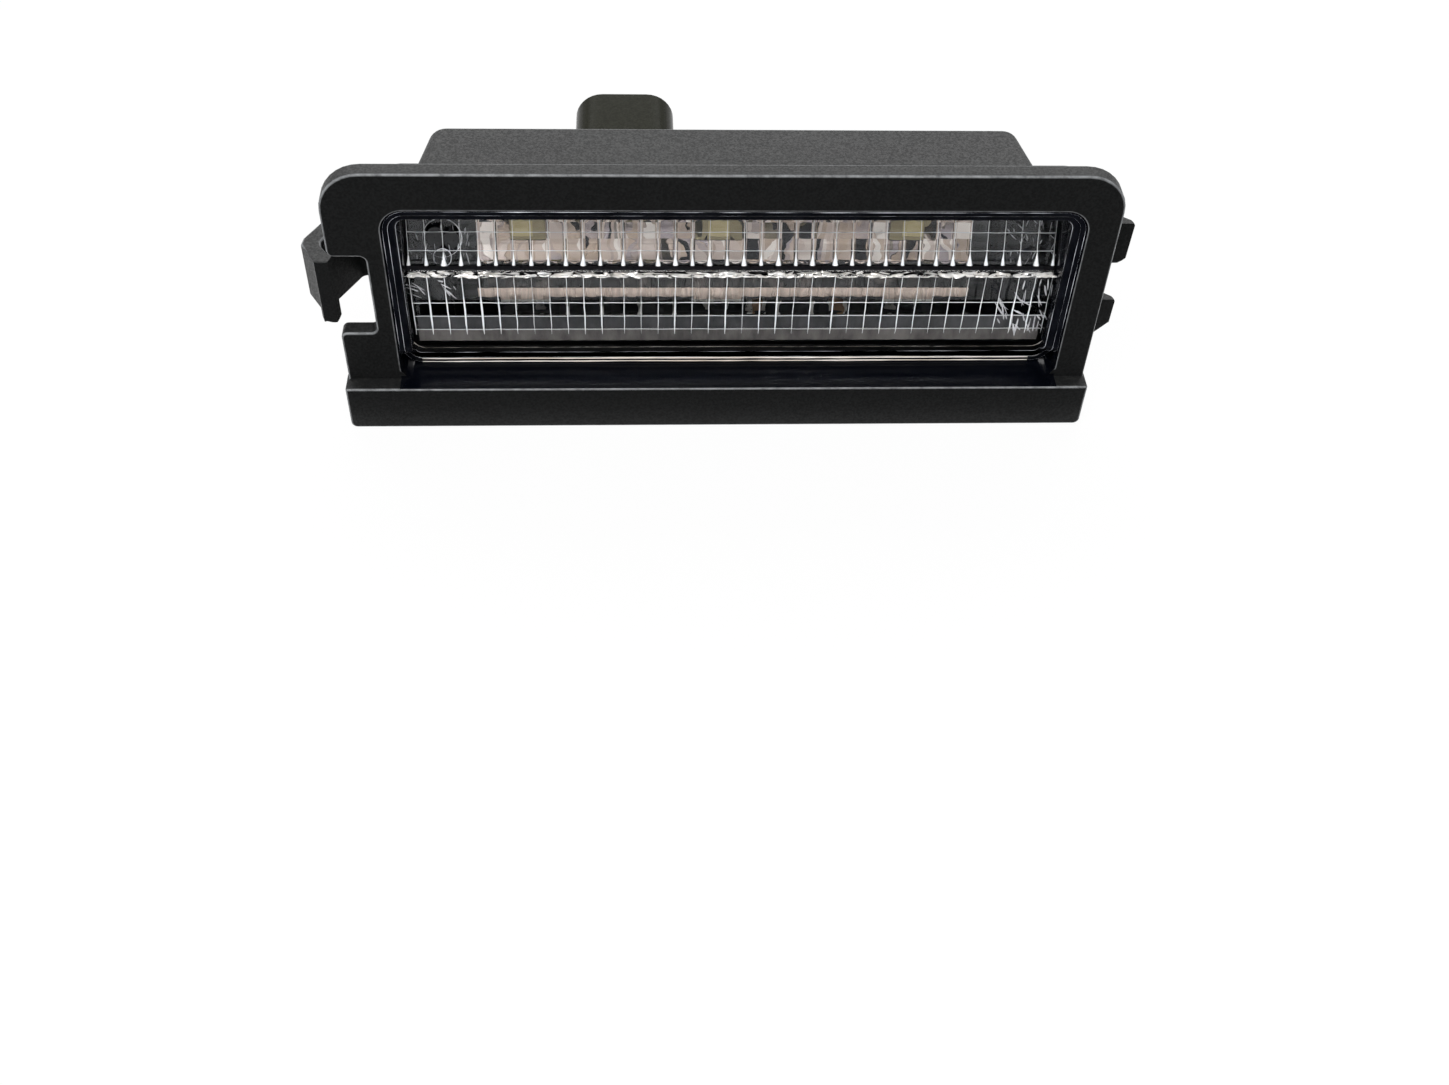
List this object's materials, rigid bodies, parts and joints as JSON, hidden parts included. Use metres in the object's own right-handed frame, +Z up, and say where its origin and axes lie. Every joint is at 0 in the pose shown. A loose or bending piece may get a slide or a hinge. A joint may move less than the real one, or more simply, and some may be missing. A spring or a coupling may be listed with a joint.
{
  "type": "number plate lamp",
  "caption": "Slim black clip-in number plate lamp with a clear gridded lens, a spring latch and hook lugs at its sides and a plug socket behind.",
  "frame": {"origin": "middle of the flange's foot, on the face that seats on the panel", "axes": "+X across the car towards the fixed lugs, +Y into the panel towards the connector, +Z up; the lens faces -Y"},
  "size_m": [0.0881, 0.026, 0.0321],
  "materials": {
    "housing_plastic": "fine grained black moulding, polished inside the window",
    "lens_clear": "clear moulded optic",
    "seal_rubber": "cured sealing bead",
    "cover_plastic": "half gloss olive grey moulding",
    "vent_membrane": "matt woven membrane",
    "board_laminate": "dark green solder mask",
    "screw_steel": "zinc plated",
    "reflector_metal": "bright metallised, slightly warm",
    "led_white": "white moulded package",
    "led_yellow": "yellow phosphor gel",
    "chip_black": "moulded chip body",
    "capacitor_tan": "fired ceramic",
    "carrier_plastic": "natural nylon",
    "terminal_tin": "tinned brass"
  },
  "bodies": {
    "root": {"housing": "housing_plastic", "lens": "lens_clear", "lens_seal": "seal_rubber", "rear_cover": "cover_plastic", "vent_patch": "vent_membrane", "circuit_board": "board_laminate", "board_screws": "screw_steel", "reflector": "reflector_metal", "led_body_1": "led_white", "led_body_2": "led_white", "led_body_3": "led_white", "led_phosphor_1": "led_yellow", "led_phosphor_2": "led_yellow", "led_phosphor_3": "led_yellow", "resistor_1": "chip_black", "resistor_2": "chip_black", "resistor_3": "chip_black", "diode": "chip_black", "surge_suppressor": "chip_black", "capacitor_1": "capacitor_tan", "capacitor_2": "capacitor_tan", "driver_chip": "chip_black", "terminal_carrier": "carrier_plastic", "terminal_left": "terminal_tin", "terminal_right": "terminal_tin"}
  },
  "joints": []
}
